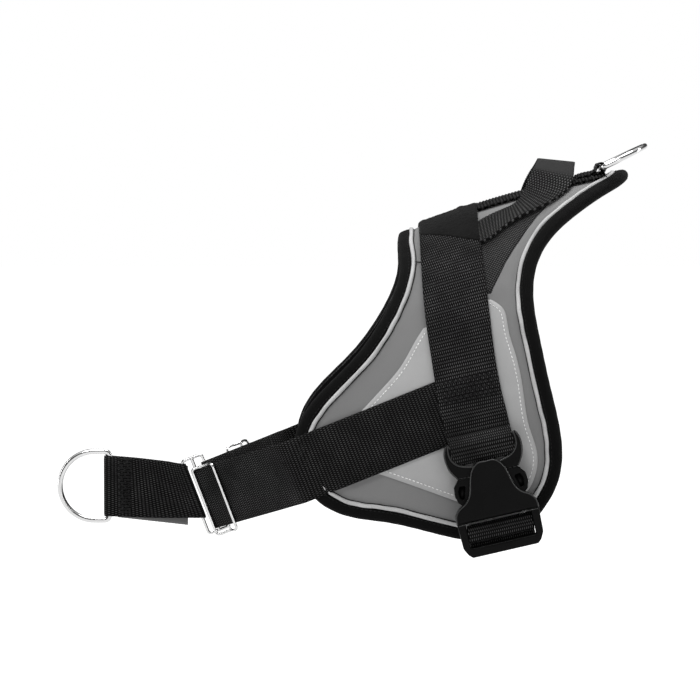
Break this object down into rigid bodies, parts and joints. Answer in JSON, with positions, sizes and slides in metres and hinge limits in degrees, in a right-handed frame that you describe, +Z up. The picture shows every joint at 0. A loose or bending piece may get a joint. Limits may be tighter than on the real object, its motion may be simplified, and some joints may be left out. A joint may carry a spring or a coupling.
{
  "type": "padded dog harness",
  "caption": "Padded saddle harness for a dog, with webbing girth, chest and belly straps, side-release buckles, slides, grab handle and front and rear leash rings.",
  "frame": {"origin": "inner face of the lining at the top of the back, under the girth strap; this is where the harness sits on the dog", "axes": "+X towards the dog's tail, -X towards its chest, +Z up, the near side is -Y"},
  "size_m": [0.476, 0.247, 0.3265],
  "materials": {
    "lining_mesh": "knitted spacer mesh",
    "foam": "closed-cell foam core",
    "shell_fabric": "mid grey nylon over foam",
    "binding": "matte black edge tape",
    "piping": "light grey reflective piping",
    "reflective_patch": "light grey reflective film fabric",
    "ballistic_fabric": "black ballistic weave",
    "hook_loop": "black loop pile",
    "webbing": "black ribbed nylon webbing",
    "plated_steel": "bright plated wire",
    "buckle_plastic": "black moulded acetal",
    "lining_tape": "dark grey tape"
  },
  "bodies": {
    "saddle": {"lining": "lining_mesh", "foam_pad": "foam", "outer_shell": "shell_fabric", "edge_binding": "binding", "reflective_piping": "piping", "near_flank_patch": "reflective_patch", "far_flank_patch": "reflective_patch", "back_panel": "ballistic_fabric", "hook_loop_patch": "hook_loop", "spine_webbing": "webbing", "girth_strap": "webbing", "near_chest_strap": "webbing", "far_chest_strap": "webbing", "front_slide": "plated_steel", "rear_ring_loop": "webbing", "near_male_buckle": "buckle_plastic", "far_male_buckle": "buckle_plastic"},
    "belly": {"belly_strap": "webbing", "near_female_buckle": "buckle_plastic", "far_female_buckle": "buckle_plastic"},
    "near_rear_latch": {"near_rear_prong": "buckle_plastic"},
    "near_front_latch": {"near_front_prong": "buckle_plastic"},
    "far_rear_latch": {"far_rear_prong": "buckle_plastic"},
    "far_front_latch": {"far_front_prong": "buckle_plastic"},
    "near_adjuster": {"near_triglide": "plated_steel"},
    "far_adjuster": {"far_triglide": "plated_steel"},
    "front_lead": {"front_web": "webbing", "front_web_lining": "lining_tape"},
    "front_ring": {"front_leash_ring": "plated_steel"},
    "rear_ring": {"rear_leash_ring": "plated_steel"},
    "handle": {"grab_handle": "webbing"}
  },
  "joints": [
    {"name": "rear_ring_swing", "type": "hinge", "parent": "saddle", "child": "rear_ring", "pos_m": [0.1165, 0, 0.0433], "axis": [0, -1, 0], "range_deg": [-18, 112]},
    {"name": "front_lead_swing", "type": "hinge", "parent": "saddle", "child": "front_lead", "pos_m": [-0.21022, 0, -0.22315], "axis": [-0.3584, 0, 0.9336], "range_deg": [-60, 60]},
    {"name": "front_ring_swing", "type": "hinge", "parent": "front_lead", "child": "front_ring", "pos_m": [-0.2795, 0, -0.2134], "axis": [0, 0, 1], "range_deg": [-100, 100]},
    {"name": "near_adjuster_slide", "type": "slide", "parent": "saddle", "child": "near_adjuster", "axis": [0.6063, -0.7602, 0.2335], "range_m": [0, 0.055]},
    {"name": "far_adjuster_slide", "type": "slide", "parent": "saddle", "child": "far_adjuster", "axis": [0.5753, 0.7969, 0.1846], "range_m": [-0.03, 0.03]},
    {"name": "handle_lift", "type": "hinge", "parent": "saddle", "child": "handle", "pos_m": [0.024, 0, 0.002], "axis": [0, -1, 0], "range_deg": [0, 50]},
    {"name": "belly_release", "type": "slide", "parent": "saddle", "child": "belly", "axis": [0.225, 0, -0.9744], "range_m": [0, 0.045], "deforming": ["near_rear_prong", "near_front_prong", "far_rear_prong", "far_front_prong"]},
    {"name": "near_rear_squeeze", "type": "hinge", "parent": "saddle", "child": "near_rear_latch", "pos_m": [0.03413, -0.117, -0.19139], "axis": [0, 1, 0], "range_deg": [0, 8], "stiffness_Nm_per_rad": 0.6},
    {"name": "near_front_squeeze", "type": "hinge", "parent": "saddle", "child": "near_front_latch", "pos_m": [0.01016, -0.117, -0.19693], "axis": [0, -1, 0], "range_deg": [0, 8], "stiffness_Nm_per_rad": 0.6},
    {"name": "far_rear_squeeze", "type": "hinge", "parent": "saddle", "child": "far_rear_latch", "pos_m": [0.03413, 0.117, -0.19139], "axis": [0, 1, 0], "range_deg": [0, 8], "stiffness_Nm_per_rad": 0.6},
    {"name": "far_front_squeeze", "type": "hinge", "parent": "saddle", "child": "far_front_latch", "pos_m": [0.01016, 0.117, -0.19693], "axis": [0, -1, 0], "range_deg": [0, 8], "stiffness_Nm_per_rad": 0.6}
  ],
  "couplings": [
    {"joint": "near_front_squeeze", "follows": "near_rear_squeeze", "ratio": 1},
    {"joint": "far_front_squeeze", "follows": "far_rear_squeeze", "ratio": 1}
  ]
}
